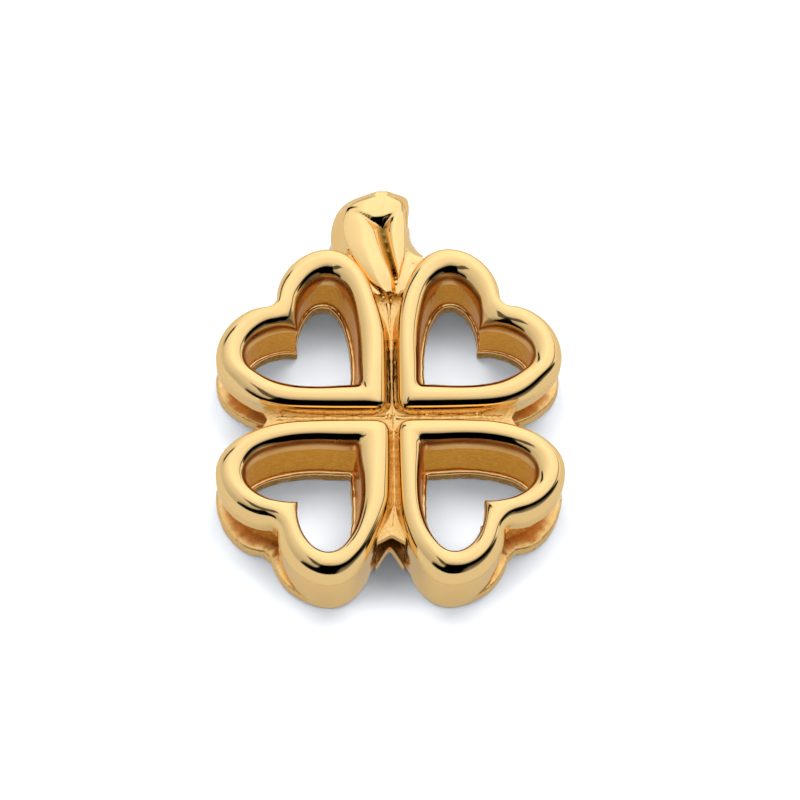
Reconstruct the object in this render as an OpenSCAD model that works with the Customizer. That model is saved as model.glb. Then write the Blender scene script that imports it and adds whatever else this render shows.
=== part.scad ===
// Four leaf clover pendant: a hollow chain slide of polished gold.
// It lies on its back: +Z is the front, +Y points to the stem, +X is to the right.
// The origin is the middle of the clover, on the flat back.

/* [Clover] */
// Width of the clover over two opposite lobes
clover_w = 14; // [11:0.5:20]
// Thickness from the flat back to the top of the rims
clover_t = 4.5; // [3.6:0.1:6]

/* [Heart rims] */
// Width of a rounded rim, from the outer edge to the heart opening
rim_w = 1; // [0.85:0.05:1.2]
// Height of the rounding on a rim
rim_round = 0.55; // [0.35:0.05:0.8]
// Gap between the outer edges of two neighbouring hearts
valley_w = 0.64; // [0.4:0.02:0.9]
// Depth of the valley between two hearts, below the rims
valley_depth = 1; // [0.8:0.05:1.3]

/* [Walls] */
// Thickness of the back plate
plate_t = 0.8; // [0.5:0.05:1.1]
// How far the back plate stands proud of the walls, inside the openings and round the edge
plate_proud = 0.06; // [0.03:0.01:0.12]
// Thickness of the front shell above the hollow
shell_t = 0.75; // [0.6:0.05:0.9]
// Thickness of the outer walls and of the walls round the openings
wall_t = 0.42; // [0.3:0.02:0.5]
// How far the walls round an opening spread towards the back, beside the valleys
wall_flare_w = 0.26; // [0:0.02:0.4]
// Thickness of the valley floor that joins the hearts at the front
web_t = 0.44; // [0.3:0.02:0.6]

/* [Chain windows] */
// Height of the open windows between the back plate and the front shell
window_h = 2; // [1.4:0.1:2.4]
// How far below the tip of an upright lobe its windows are fully open
lobe_wall = 2.2; // [1.9:0.05:2.5]
// Length over which a window closes to a point
window_taper = 1.15; // [0.6:0.05:1.4]

/* [Stem] */
// How far the stem stands out beyond the upper lobes
stem_out = 3; // [1.5:0.1:5]
// Width of the stem at its widest
stem_w = 3.3; // [2.4:0.1:4]
// Thickness of the stem
stem_t = 4.3; // [3:0.05:5]
// Depth of the groove down the front of the stem
groove_depth = 0.55; // [0.2:0.05:0.8]

/* [Hidden] */

gold = "gold";

// Shares of the rim's width beside a valley and at the end of a lobe
rim_beside = 0.93;
rim_end = 1.18;
// How soon the flare of the walls fades away from the valleys
flare_fade = 1.6;
// Reach of the cross between the hearts, as a share of the clover's, and of the back's cross
cross_share = 0.71;
back_cross = 0.96;
// How far the cross reaches into the walls and how deep its ends are hollowed, as shares
cross_bite = 0.6;
end_hollow = 0.35;

reach = clover_w / 2;
heart_low = valley_w / 2;
hole_low = heart_low + rim_beside * rim_w;
hole_high = reach - rim_end * rim_w;
rim_foot = clover_t - rim_round;
valley_z = clover_t - valley_depth;
window_top = plate_t + window_h;
window_end = reach - lobe_wall;
crotch_reach = cross_share * reach;
web_half_w = heart_low + cross_bite * wall_t;
seat = plate_t / 2;

// Half of a heart from its point to its notch, as shares from the inner edge to the reach.
// Columns: along, across, direction, handle before, handle after, steps to the next row
heart_nodes = [
    [0.018, 0.018, 135, 0.015, 0.015, 3],
    [0, 0.094, 90, 0.042, 0.22, 3],
    [0.006, 0.506, 88, 0.15, 0.215, 8],
    [0.314, 1, 0, 0.195, 0.178, 8],
    [0.629, 0.71, -86, 0.13, 0.035, 3],
    [0.648, 0.648, -45, 0.035, 0.03, 0],
];
// The opening of a heart, in the same columns and from its own inner edge to its own reach
hole_nodes = [
    [0.012, 0.012, 135, 0.008, 0.008, 3],
    [0, 0.055, 90, 0.02, 0.16, 3],
    [-0.01, 0.457, 87, 0.2, 0.2, 8],
    [0.272, 1, 0, 0.2, 0.165, 8],
    [0.545, 0.639, -87, 0.15, 0.05, 3],
    [0.54, 0.54, -90, 0.03, 0.03, 0],
];

// Angles round the top of a rim, from its outer edge to the opening
rim_angles = [0:22.5:180];

// The stem in slices from its foot to its tip.
// Columns: height as a share of the stem's length, left and right edge and groove as shares
// of the width, ridge height as a share of the thickness, share of the groove's depth
stem_slices = [
    [0, -0.11, 0.11, 0, 0.8, 0],
    [0.06, -0.17, 0.155, 0.02, 0.92, 0.1],
    [0.19, -0.35, 0.29, 0.11, 0.98, 0.75],
    [0.365, -0.545, 0.38, 0.035, 1, 1],
    [0.47, -0.64, 0.345, -0.01, 1, 1],
    [0.6, -0.695, 0.28, -0.05, 1, 0.85],
    [0.67, -0.695, 0.265, -0.07, 0.99, 0.1],
    [0.77, -0.655, 0.27, -0.08, 0.995, 0],
    [0.86, -0.565, 0.282, -0.07, 0.965, 0],
    [0.95, -0.35, 0.23, -0.06, 0.85, 0],
    [0.985, -0.2, 0.16, -0.02, 0.76, 0],
    [1, -0.075, 0.085, 0, 0.67, 0],
];
// One flank of a slice from the back up to the front.
// Columns: share of the slice's width inwards, share of its height
stem_flank = [
    [0.06, 0],
    [0, 0.07],
    [0, 0.65],
    [0.03, 0.75],
    [0.08, 0.86],
    [0.13, 0.95],
];
// Place of a ridge between flank and groove, then place and depth of the groove's bank
stem_crest = 0.55;
bank_share = 0.6;
bank_depth = 0.45;
// How far the stem's foot stands in the crotch, and how high over the floor, as shares
foot_bite = 0.25;
foot_lift = 0.15;
stem_foot_y = crotch_reach - foot_bite * valley_w;
stem_tip_y = reach + stem_out;
stem_foot_z = foot_lift * plate_t;

function mix(a, b, share) = a + (b - a) * share;

function bezier(a, b, c, d, t) =
    pow(1 - t, 3) * a + 3 * pow(1 - t, 2) * t * b + 3 * (1 - t) * t * t * c + pow(t, 3) * d;

function heading(angle) = [cos(angle), sin(angle)];

// The points from one row of a heart table up to the next
function heart_leg(a, b) = [
    for (k = [0:1:a[5] - 1])
        let (from = [a[0], a[1]], to = [b[0], b[1]])
        bezier(from, from + heading(a[2]) * a[4], to - heading(b[2]) * b[3], to, k / a[5])
];

function half_heart(rows) = [
    for (i = [0:1:len(rows) - 2]) each heart_leg(rows[i], rows[i + 1]),
    [rows[len(rows) - 1][0], rows[len(rows) - 1][1]],
];

// A whole heart: the half and its mirror image across the diagonal
function whole_heart(rows, low, high) =
    let (half = half_heart(rows), n = len(half))
    [
        for (p = half) [mix(low, high, p[0]), mix(low, high, p[1])],
        for (i = [n - 2:-1:1]) [mix(low, high, half[i][1]), mix(low, high, half[i][0])],
    ];

outer_line = whole_heart(heart_nodes, heart_low, reach);
hole_line = whole_heart(hole_nodes, hole_low, hole_high);

// How much of the flare a point of the opening takes: all of it beside the valleys
function flare_share(v) = max(0, min(1, 1 - (v - hole_low) / (hole_high - hole_low) * flare_fade));
flare_line = [
    for (p = hole_line)
        [p[0] + wall_flare_w * flare_share(p[0]), p[1] + wall_flare_w * flare_share(p[1])]
];

// A line between a heart's outer edge (0) and its opening (1)
function between(share) = [for (i = [0:1:len(outer_line) - 1]) mix(outer_line[i], hole_line[i], share)];

// A line that keeps a distance from the opening's edge at a share of the way down its wall
function beside_hole(gap, drop) = [
    for (i = [0:1:len(hole_line) - 1])
        let (edge = mix(hole_line[i], flare_line[i], drop), away = outer_line[i] - hole_line[i])
        edge + away * gap / norm(away)
];

function beside_edge(gap) = [
    for (i = [0:1:len(outer_line) - 1])
        let (inward = hole_line[i] - outer_line[i])
        outer_line[i] + inward * gap / norm(inward)
];

function at_height(line, z) = [for (p = line) [p[0], p[1], z]];

// The lower edge of the front shell: over the windows, and down to the back plate between them
function skirt_z(p, over, down) =
    let (t = max(0, min(1, (p[1] - window_end) / window_taper)), ease = t * t * (3 - 2 * t))
    mix(over, down, ease);

function skirt_ring(line) = [
    for (i = [0:1:len(line) - 1]) [line[i][0], line[i][1], skirt_z(outer_line[i], window_top, seat)]
];

// Rings of one heart's section, from the skirt over the rim and down round the opening
function heart_rings() = [
    skirt_ring(outer_line),
    for (a = rim_angles) at_height(between((1 - cos(a)) / 2), rim_foot + rim_round * sin(a)),
    at_height(beside_hole(0, 1), seat),
    at_height(beside_hole(wall_t, 1), seat),
    at_height(beside_hole(wall_t, 0), clover_t - shell_t),
    at_height(beside_edge(wall_t), clover_t - shell_t),
    skirt_ring(beside_edge(wall_t)),
];

// A solid that closes on itself both ways: rings of points, each joined to the next
module closed_ring_solid(rings) {
    n = len(rings[0]);
    m = len(rings);
    polyhedron(
        points = [for (ring = rings) each ring],
        faces = [
            for (j = [0:1:m - 1], i = [0:1:n - 1])
                let (a = j * n + i, b = j * n + (i + 1) % n)
                let (c = ((j + 1) % m) * n + (i + 1) % n, d = ((j + 1) % m) * n + i)
                each [[a, b, c], [a, c, d]]
        ],
        convexity = 8
    );
}

// A solid through slices with a flat cap on the first and the last
module sliced_solid(slices) {
    n = len(slices[0]);
    m = len(slices);
    polyhedron(
        points = [for (slice = slices) each slice],
        faces = [
            [for (i = [0:1:n - 1]) i],
            for (j = [0:1:m - 2], i = [0:1:n - 1])
                let (a = j * n + i, b = j * n + (i + 1) % n)
                let (c = (j + 1) * n + (i + 1) % n, d = (j + 1) * n + i)
                each [[a, c, b], [a, d, c]],
            [for (i = [n - 1:-1:0]) (m - 1) * n + i],
        ],
        convexity = 6
    );
}

// The same shape in all four quarters
module each_quarter() {
    for (side = [0, 1], end = [0, 1])
        mirror([side, 0, 0]) mirror([0, end, 0]) children();
}

// One heart: rounded rim, skirt with its windows, and the wall round the opening
module heart() {
    color(gold) closed_ring_solid(heart_rings());
}

// Bars of the cross between the hearts, with hollow ends in the crotches
module cross_outline(half_width, length) {
    difference() {
        union() {
            square([2 * half_width, 2 * length], center = true);
            square([2 * length, 2 * half_width], center = true);
        }
        for (turn = [0:90:270])
            rotate(turn) translate([length + end_hollow * half_width, 0]) circle(r = half_width, $fn = 32);
    }
}

// Floor of the valleys, which joins the four hearts at the front
module valley_web() {
    color(gold) translate([0, 0, valley_z - web_t])
        linear_extrude(web_t) cross_outline(web_half_w, crotch_reach);
}

// Flat back with the four openings
module back_plate() {
    color(gold) linear_extrude(plate_t) difference() {
        union() {
            each_quarter() polygon(beside_edge(-plate_proud));
            cross_outline(web_half_w, crotch_reach * back_cross);
        }
        each_quarter() polygon(beside_hole(-plate_proud, 1));
    }
}

// Outline of the stem in one slice, from the back on the left over the two ridges
function stem_slice(row) =
    let (y = mix(stem_foot_y, stem_tip_y, row[0]), left = row[1] * stem_w, right = row[2] * stem_w)
    let (groove = row[3] * stem_w, top = row[4] * stem_t, w = right - left, dip = row[5] * groove_depth)
    let (left_crest = mix(left, groove, stem_crest), right_crest = mix(right, groove, stem_crest))
    let (bank_z = top - bank_depth * dip, n = len(stem_flank))
    [
        for (p = stem_flank) [left + p[0] * w, y, mix(stem_foot_z, top, p[1])],
        [left_crest, y, top],
        [mix(left_crest, groove, bank_share), y, bank_z],
        [groove, y, top - dip],
        [mix(right_crest, groove, bank_share), y, bank_z],
        [right_crest, y, top],
        for (i = [n - 1:-1:0])
            [right - stem_flank[i][0] * w, y, mix(stem_foot_z, top, stem_flank[i][1])],
    ];

// Short thick leaf stem that leans to the left, seated between the two upper hearts
module stem() {
    color(gold) sliced_solid([for (row = stem_slices) stem_slice(row)]);
}

// The cast and soldered pendant is one solid
module clover() {
    union() {
        back_plate();
        each_quarter() heart();
        valley_web();
        stem();
    }
}

clover();
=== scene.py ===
import bmesh
import bpy
import numpy as np
from math import cos, hypot, pi, radians, sin, tan
from mathutils import Matrix, Vector


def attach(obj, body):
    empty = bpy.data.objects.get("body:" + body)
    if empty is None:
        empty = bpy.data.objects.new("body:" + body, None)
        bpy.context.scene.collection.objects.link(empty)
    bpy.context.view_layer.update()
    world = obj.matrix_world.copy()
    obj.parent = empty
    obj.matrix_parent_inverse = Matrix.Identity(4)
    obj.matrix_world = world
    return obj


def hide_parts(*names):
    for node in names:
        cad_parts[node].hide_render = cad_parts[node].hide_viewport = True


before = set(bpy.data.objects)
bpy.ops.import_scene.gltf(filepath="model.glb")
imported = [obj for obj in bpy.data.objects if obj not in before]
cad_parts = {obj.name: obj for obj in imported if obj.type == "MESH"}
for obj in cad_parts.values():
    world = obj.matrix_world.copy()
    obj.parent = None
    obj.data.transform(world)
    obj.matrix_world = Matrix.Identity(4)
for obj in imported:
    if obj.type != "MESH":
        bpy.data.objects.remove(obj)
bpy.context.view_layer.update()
scene = bpy.context.scene
mm = 0.001  # every size below is in millimetres
print("frame loaded")

# The pendant lies on its back: +Z is its front, +Y points to the stem
clover = {
    "width": 14.0,
    "thickness": 4.5,
    "rimWidth": 1.0,
    "rimOpening": 0.93,  # rim beside a valley, as a share of the rim's width
    "rimLobe": 1.18,  # rim at the end of a lobe, as a share of the rim's width
    "valleyWidth": 0.64,
    "valleyDepth": 1.0,
    "plate": 0.8,
    "wall": 0.42,
    "shell": 0.75,
    "windowHeight": 2.0,
    "lobeWall": 2.2,
    "windowTaper": 1.15,
    "footLobe": 0.02,
    "splay": 0.26,
    "splayFade": 1.6,
}
reach = clover["width"] / 2
heartLow = clover["valleyWidth"] / 2
holeLow = heartLow + clover["rimOpening"] * clover["rimWidth"]
holeHigh = reach - clover["rimLobe"] * clover["rimWidth"]
windowTop = clover["plate"] + clover["windowHeight"]
windowEnd = reach - clover["lobeWall"]
valleyFloor = clover["thickness"] - clover["valleyDepth"]
seat = clover["plate"] / 2

# Half of a heart from its point to its notch, as shares from the inner edge to the reach:
# along, across, direction, handle before, handle after, steps to the next row
heartRows = [
    [0.018, 0.018, 135, 0.015, 0.015, 3],
    [0, 0.094, 90, 0.042, 0.22, 3],
    [0.006, 0.506, 88, 0.15, 0.215, 8],
    [0.314, 1, 0, 0.195, 0.178, 8],
    [0.629, 0.71, -86, 0.13, 0.035, 3],
    [0.648, 0.648, -45, 0.035, 0.03, 0],
]
holeRows = [
    [0.012, 0.012, 135, 0.008, 0.008, 3],
    [0, 0.055, 90, 0.02, 0.16, 3],
    [-0.01, 0.457, 87, 0.2, 0.2, 8],
    [0.272, 1, 0, 0.2, 0.165, 8],
    [0.545, 0.639, -87, 0.15, 0.05, 3],
    [0.54, 0.54, -90, 0.03, 0.03, 0],
]


# Rim of a heart. Its section changes along the path between four shapes: beside a valley or round a
# lobe, with the outer side towards the stem (far) or away from it (near)
rim = {
    "steps": 15,
    "skirtRows": (0.12, 0.88, 7),
    "flankRows": 8,
    "lipRows": 4,
    "wallRows": 12,
    "outerEase": 6,  # passes that ease the lines of the outer edge, the opening and the bends
    "holeEase": 3,
    "bendEase": 12,
    "holeBend": 1.15,
    "outerBend": 0.8,
    "holeSharp": 9.0,  # how fast the notch of the opening and that of the skirt fade towards the crest
    "outerSharp": 5.0,
    "valleyUntil": 0.4,  # share of the lobe up to which a flank belongs to a valley
    "leanOut": 0.22,
    "leanWidth": 0.24,
    "shift": 0.2,
    "shiftWidth": 1.2,
    "lobeWidth": 1.1,
    "flankSink": 0.04,
    "satinFrom": 0.9,  # slope in radians from which the inner round has the softer finish
    "lipFoot": 3.5,
    "recess": 0.05,
    "stepDrop": 0.03,
    "underLip": 0.1,
    "hiddenLean": 0.6,
    "hiddenFoot": 0.03,
}
# Each shape: share of the width where the crest lies, fall and power of the outer round, fall and
# power of the inner round, and how far its edge stands out into the opening
rimShapes = {
    "valleyFar": [0.44, 0.42, 2.8, 0.75, 2.0, 0.13],
    "valleyNear": [0.56, 0.5, 1.9, 0.7, 2.0, 0.0],
    "lobeFar": [0.35, 0.42, 2.4, 0.95, 2.0, 0.1],
    "lobeNear": [0.65, 1.1, 2.0, 0.4, 3.0, 0.0],
}
# How far hand work lets the surface wander, as a share of the rough finish
handWork = {"edge": 0.5, "skirt": 0.3, "flank": 0.2, "flankTop": 0.05, "lip": 0.15, "step": 0.4, "wall": 0.25}
# Zones of the finish, and the mean of a face's corners above which it belongs to one
polished, flank, lip, satin, plain = 1.0, 1.2, 2.0, 3.0, 4.0
zoneFrom = {"flank": 1.15, "lip": 1.4, "satin": 2.4, "plain": 3.4}


def smoothStep(t):
    t = np.clip(t, 0, 1)
    return t * t * (3 - 2 * t)


def heading(degrees):
    return np.array([cos(radians(degrees)), sin(radians(degrees))])


def heartLine(rows, low, high, finer=5):
    # Bezier legs of one half, then its mirror image across the diagonal
    half = []
    for a, b in zip(rows, rows[1:]):
        start, end = np.array(a[:2]), np.array(b[:2])
        leave, arrive = start + a[4] * heading(a[2]), end - b[3] * heading(b[2])
        for t in np.arange(a[5] * finer) / (a[5] * finer):
            half.append((1 - t) ** 3 * start + 3 * (1 - t) ** 2 * t * leave
                        + 3 * (1 - t) * t * t * arrive + t ** 3 * end)
    half.append(np.array(rows[-1][:2]))
    half = np.array(half)
    line = np.vstack([half, half[-2:0:-1, ::-1]])
    return low + (high - low) * line


def easeLine(line, passes):
    # rounds off the jumps in curvature where two legs meet
    for _ in range(passes):
        line = line / 2 + (np.roll(line, 1, axis=0) + np.roll(line, -1, axis=0)) / 4
    return line


def softNotch(line, notch, bend):
    # the crest of the rim passes the notch in a wide bend
    inside = np.flatnonzero(np.linalg.norm(line - notch, axis=1) < bend)
    first, last = line[inside[0]], line[inside[-1]]
    t = np.linspace(0, 1, len(inside))[:, None]
    soft = line.copy()
    soft[inside] = (1 - t) ** 2 * first + 2 * t * (1 - t) * notch + t * t * last
    return easeLine(soft, rim["bendEase"])


# What each point of a heart's path carries to its section. Side is 1 for the hearts by the stem,
# whose edge at the cross valley comes further down by shift
def heartPath(rows, inner, foot, side, shift=0.0, tuck=0.0):
    outer = easeLine(heartLine(rows, heartLow, reach), rim["outerEase"])
    hole = easeLine(heartLine(inner, holeLow, holeHigh), rim["holeEase"])
    nearValley = 1 - smoothStep((outer - heartLow) / rim["leanWidth"])
    nearValley[:, 1] *= 1 - shift / rim["leanOut"]
    outer[:, 1] -= shift * (1 - smoothStep((outer[:, 1] - heartLow) / rim["shiftWidth"]))
    softHole = softNotch(hole, holeLow + (holeHigh - holeLow) * inner[-1][0], rim["holeBend"])
    softOuter = softNotch(outer, heartLow + (reach - heartLow) * rows[-1][0], rim["outerBend"])
    inward = softHole - softOuter
    unit = inward / np.linalg.norm(inward, axis=1)[:, None]
    outer += unit * (tuck * smoothStep((outer[:, 1] - windowEnd) / clover["windowTaper"]))[:, None]
    fade = np.clip(1 - (hole - holeLow) / (holeHigh - holeLow) * clover["splayFade"], 0, 1)
    return {
        "outer": softOuter,
        "inward": inward,
        "holeNotch": hole - softHole,
        "outerNotch": outer - softOuter,
        "inwardUnit": unit,
        "lean": -nearValley * rim["leanOut"],
        "splay": clover["splay"] * fade,
        "foot": foot(outer),
        "lobe": smoothStep((outer.min(axis=1) - heartLow) / rim["lobeWidth"]),
        "near": smoothStep(0.5 + 0.5 * side * unit[:, 1]),
    }


def skirtFoot(outer):
    down = smoothStep((outer[:, 1] - windowEnd) / clover["windowTaper"])
    return windowTop + (clover["footLobe"] - windowTop) * down


# Section of a heart across its rim, from the foot of its skirt over the crest into the opening: rows
# of share across the rim, gap inwards and height, and the values that all shapes share, which are
# lean, splay, share of the skirt's foot, hand work and zone of the finish
def heartSection(shape):
    spots, values = [], []
    top, lipFoot, wall = clover["thickness"], rim["lipFoot"], clover["wall"]
    recess, hiddenLean, flankFoot = rim["recess"], rim["hiddenLean"], valleyFloor - rim["flankSink"]
    crest, outerFall, outerPower, innerFall, innerPower, innerOut = shape
    outerEdge, innerEdge = top - outerFall, top - innerFall

    def row(share, gap, height, lean=0, splay=0, skirt=0, rough=0, zone=plain):
        spots.append([share, gap, height])
        values.append([lean, splay, skirt, rough, zone])

    def quarter(angle, power):
        return sin(angle) ** (2 / power), cos(angle) ** (2 / power)

    # skirt with a rounded lower edge, then the flank of the valley
    for gap, lift in [(0.07, 0), (0.02, 0.02), (0, 0.07)]:
        row(0, gap, lift, 1, 0, 1, handWork["edge"], polished)
    for t in np.linspace(*rim["skirtRows"]):
        row(0, 0, t * flankFoot, 1, 0, 1 - t, handWork["skirt"], polished)
    for t in np.arange(rim["flankRows"]) / rim["flankRows"]:
        lean = 1 - sin(t * pi / 2)
        work = handWork["flank"] * (1 - t) + handWork["flankTop"]
        row(0, 0, flankFoot + t * (outerEdge - flankFoot), lean, 0, 0, work, flank)
    # outer and inner round of the rim
    turns = (1 - np.cos(np.linspace(0, pi, rim["steps"]))) * pi / 4
    for angle in turns[::-1]:
        out, up = quarter(angle, outerPower)
        row(crest * (1 - out), 0, outerEdge + outerFall * up, zone=polished)
    for angle in turns[1:]:
        out, up = quarter(angle, innerPower)
        row(crest + (1 - crest) * out, innerOut * out, innerEdge + innerFall * up,
            zone=lip if angle > rim["satinFrom"] else polished)
    # lip inside the opening, the step back under it and the wall down to the plate
    for t in np.linspace(1 / rim["lipRows"], 1, rim["lipRows"]):
        row(1, innerOut, innerEdge + t * (lipFoot - innerEdge), rough=handWork["lip"], zone=lip)
    row(1, (innerOut - recess) / 2, lipFoot - rim["stepDrop"], rough=handWork["step"], zone=satin)
    wallHead = lipFoot - 2 * rim["stepDrop"]
    for t in np.linspace(0, 1, rim["wallRows"]):
        z = wallHead + t * (seat - wallHead)
        row(1, -recess, z, 0, 1 - (z - seat) / (wallHead - seat), 0, handWork["wall"], satin)
    # hidden faces of the hollow
    under = min(top - clover["shell"], lipFoot - rim["underLip"])
    row(1, -wall, seat, splay=1)
    row(1, -wall, (seat + under) / 2, splay=0.5)
    row(1, -wall, under)
    row(0, wall, under, hiddenLean)
    row(0, wall, under / 2, hiddenLean, skirt=0.5)
    row(0, wall, rim["hiddenFoot"], hiddenLean, skirt=1)
    return np.array(spots), np.array(values)


def addObject(name, data):
    piece = bpy.data.objects.new(name, data)
    scene.collection.objects.link(piece)
    return piece


def writeValues(mesh, values):
    for key, data in values.items():
        data = np.asarray(data, dtype=np.float32)
        single = data.ndim == 1
        if not single:
            data = np.pad(data, ((0, 0), (0, 3 - data.shape[1])))
        layer = mesh.attributes.new(key, "FLOAT" if single else "FLOAT_VECTOR", "POINT")
        layer.data.foreach_set("value" if single else "vector", data.ravel())


# Loops of points carry their named values into the sweep
def loopObject(name, points, values):
    mesh = bpy.data.meshes.new(name)
    count = len(points)
    mesh.from_pydata([tuple(p) for p in points], [(i, (i + 1) % count) for i in range(count)], [])
    writeValues(mesh, values)
    return addObject(name, mesh)


def pathObject(name, path):
    points = np.column_stack([path["outer"], np.zeros(len(path["outer"]))]) * mm
    plainNumbers = ("inwardUnit", "lobe", "near")
    values = {key: data * (1 if key in plainNumbers else mm) for key, data in path.items()}
    return loopObject(name, points, values)


def sectionObject(name, sectionOf):
    # one vector of share, gap and height for each shape of the rim, and the values they share
    values = {}
    for style, shape in rimShapes.items():
        spots, common = sectionOf(shape)
        values[style] = spots * (1, mm, mm)
    for column, data in zip(("leanShare", "splayShare", "skirtShare", "rough", "zone"), common.T):
        values[column] = data * (mm if column == "rough" else 1)
    return loopObject(name, [(share * mm, height * mm, 0) for share, gap, height in spots], values)


# Short hands for building trees
def place(tree, kind, links=None, **settings):
    node = tree.nodes.new(kind)
    for key, value in settings.items():
        setattr(node, key, value)
    for key, value in (links or {}).items():
        if isinstance(value, bpy.types.NodeSocket):
            tree.links.new(value, node.inputs[key])
        else:
            node.inputs[key].default_value = value
    return node


def build(tree, kind, links=None, **settings):
    return place(tree, kind, links, **settings).outputs[0]


def maths(tree, operation, *values, clamp=False):
    return build(tree, "ShaderNodeMath", dict(enumerate(values)), operation=operation, use_clamp=clamp)


def times(tree, first, second):
    return maths(tree, "MULTIPLY", first, second)


def minus(tree, first, second):
    return maths(tree, "SUBTRACT", first, second)


def vectors(tree, operation, *values):
    links = dict(enumerate(values))
    if operation == "SCALE":
        links["Scale"] = links.pop(1)
    return build(tree, "ShaderNodeVectorMath", links, operation=operation)


def named(tree, name, kind="FLOAT"):
    return build(tree, "GeometryNodeInputNamedAttribute", {"Name": name}, data_type=kind)


def seededNoise(tree, seed, scale, detail):
    return place(tree, "ShaderNodeTexNoise", {"W": seed, "Scale": scale, "Detail": detail},
                 noise_dimensions="4D").outputs


def geometryTree(name, inputs):
    tree = bpy.data.node_groups.new(name, "GeometryNodeTree")
    for title, kind, default in inputs:
        socket = tree.interface.new_socket(title, in_out="INPUT", socket_type="NodeSocket" + kind)
        if default is not None:
            socket.default_value = default
    tree.interface.new_socket("Geometry", in_out="OUTPUT", socket_type="NodeSocketGeometry")
    return tree, tree.nodes.new("NodeGroupInput").outputs


def finishTree(tree, geometry, zones):
    for zone, material in zones:
        links = {"Geometry": geometry, "Material": material}
        if zone is not None:
            links["Selection"] = zone
        geometry = build(tree, "GeometryNodeSetMaterial", links)
    tree.links.new(geometry, tree.nodes.new("NodeGroupOutput").inputs[0])


def mixed(tree, share, first, second):
    return place(tree, "ShaderNodeMix", {0: share, 4: first, 5: second}, data_type="VECTOR").outputs[1]


def mixedColor(tree, share, first, second):
    return place(tree, "ShaderNodeMix", {0: share, 6: first, 7: second}, data_type="RGBA").outputs[2]


# A section swept along a heart's path, set out on both sides of X = 0
def sweepTree():
    tree, given = geometryTree("heartSweep", [
        ("Path", "Geometry", None),
        ("Section", "Object", None),
        ("Side", "Float", 1.0),
        ("Rough finish", "Float", 1.0),
        ("Grain size", "Float", 0.5 * mm),
        ("Seed", "Int", 3),
        ("Front finish", "Material", None),
        ("Valley finish", "Material", None),
        ("Lip finish", "Material", None),
        ("Wall finish", "Material", None),
        ("Hidden finish", "Material", None),
    ])
    path = build(tree, "GeometryNodeMeshToCurve", {"Mesh": given["Path"]})
    section = place(tree, "GeometryNodeObjectInfo", {"Object": given["Section"]})
    profile = build(tree, "GeometryNodeMeshToCurve", {"Mesh": section.outputs["Geometry"]})
    swept = build(tree, "GeometryNodeCurveToMesh", {"Curve": path, "Profile Curve": profile})
    lobe, near = named(tree, "lobe"), named(tree, "near")
    styles = [named(tree, style, "FLOAT_VECTOR") for style in rimShapes]
    far = mixed(tree, lobe, styles[0], styles[2])
    close = mixed(tree, lobe, styles[1], styles[3])
    shape = place(tree, "ShaderNodeSeparateXYZ", {0: mixed(tree, near, far, close)}).outputs
    spot = named(tree, "outer", "FLOAT_VECTOR")
    sharpHole = maths(tree, "POWER", shape[0], rim["holeSharp"])
    sharpOuter = maths(tree, "POWER", maths(tree, "SUBTRACT", 1.0, shape[0], clamp=True), rim["outerSharp"])
    ways = [("inward", shape[0]), ("inwardUnit", shape[1]),
            ("holeNotch", sharpHole), ("outerNotch", sharpOuter),
            ("lean", named(tree, "leanShare")), ("splay", named(tree, "splayShare"))]
    for way, share in ways:
        spot = vectors(tree, "ADD", spot, vectors(tree, "SCALE", named(tree, way, "FLOAT_VECTOR"), share))
    height = maths(tree, "MULTIPLY_ADD", named(tree, "foot"), named(tree, "skirtShare"), shape[2])
    flat = place(tree, "ShaderNodeSeparateXYZ", {0: spot}).outputs
    raised = build(tree, "ShaderNodeCombineXYZ", {"X": flat[0], "Y": flat[1], "Z": height})
    quarter = build(tree, "GeometryNodeSetPosition", {"Geometry": swept, "Position": raised})
    order = build(tree, "GeometryNodeInputIndex")
    signX = maths(tree, "MULTIPLY_ADD", order, -2.0, 1.0)
    turn = build(tree, "ShaderNodeCombineXYZ", {"X": signX, "Y": given["Side"], "Z": 1.0})
    spots = build(tree, "GeometryNodePoints", {"Count": 2})
    copies = build(tree, "GeometryNodeInstanceOnPoints",
                   {"Points": spots, "Instance": quarter, "Scale": turn})
    whole = build(tree, "GeometryNodeRealizeInstances", {"Geometry": copies})
    # hand work: the surface wanders a little along its normal
    size = maths(tree, "DIVIDE", 1.0, given["Grain size"])
    noise = seededNoise(tree, given["Seed"], size, 3.0)[0]
    amount = times(tree, minus(tree, noise, 0.5), named(tree, "rough"))
    amount = times(tree, amount, given["Rough finish"])
    offset = vectors(tree, "SCALE", build(tree, "GeometryNodeInputNormal"), amount)
    worked = build(tree, "GeometryNodeSetPosition", {"Geometry": whole, "Offset": offset})
    # solder ran over the flanks, except round the lobes
    zones = {key: maths(tree, "GREATER_THAN", named(tree, "zone"), least) for key, least in zoneFrom.items()}
    inValley = maths(tree, "LESS_THAN", lobe, rim["valleyUntil"])
    finishTree(tree, worked, [
        (None, given["Front finish"]),
        (times(tree, zones["flank"], inValley), given["Valley finish"]),
        (zones["lip"], given["Lip finish"]),
        (zones["satin"], given["Wall finish"]),
        (zones["plain"], given["Hidden finish"]),
    ])
    return tree


def keepResult(piece):
    # what the modifiers make becomes the piece's own mesh
    bpy.context.view_layer.update()
    evaluated = piece.evaluated_get(bpy.context.evaluated_depsgraph_get())
    mesh = bpy.data.meshes.new_from_object(evaluated)
    piece.modifiers.clear()
    old = piece.data
    piece.data = mesh
    bpy.data.meshes.remove(old)


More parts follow.
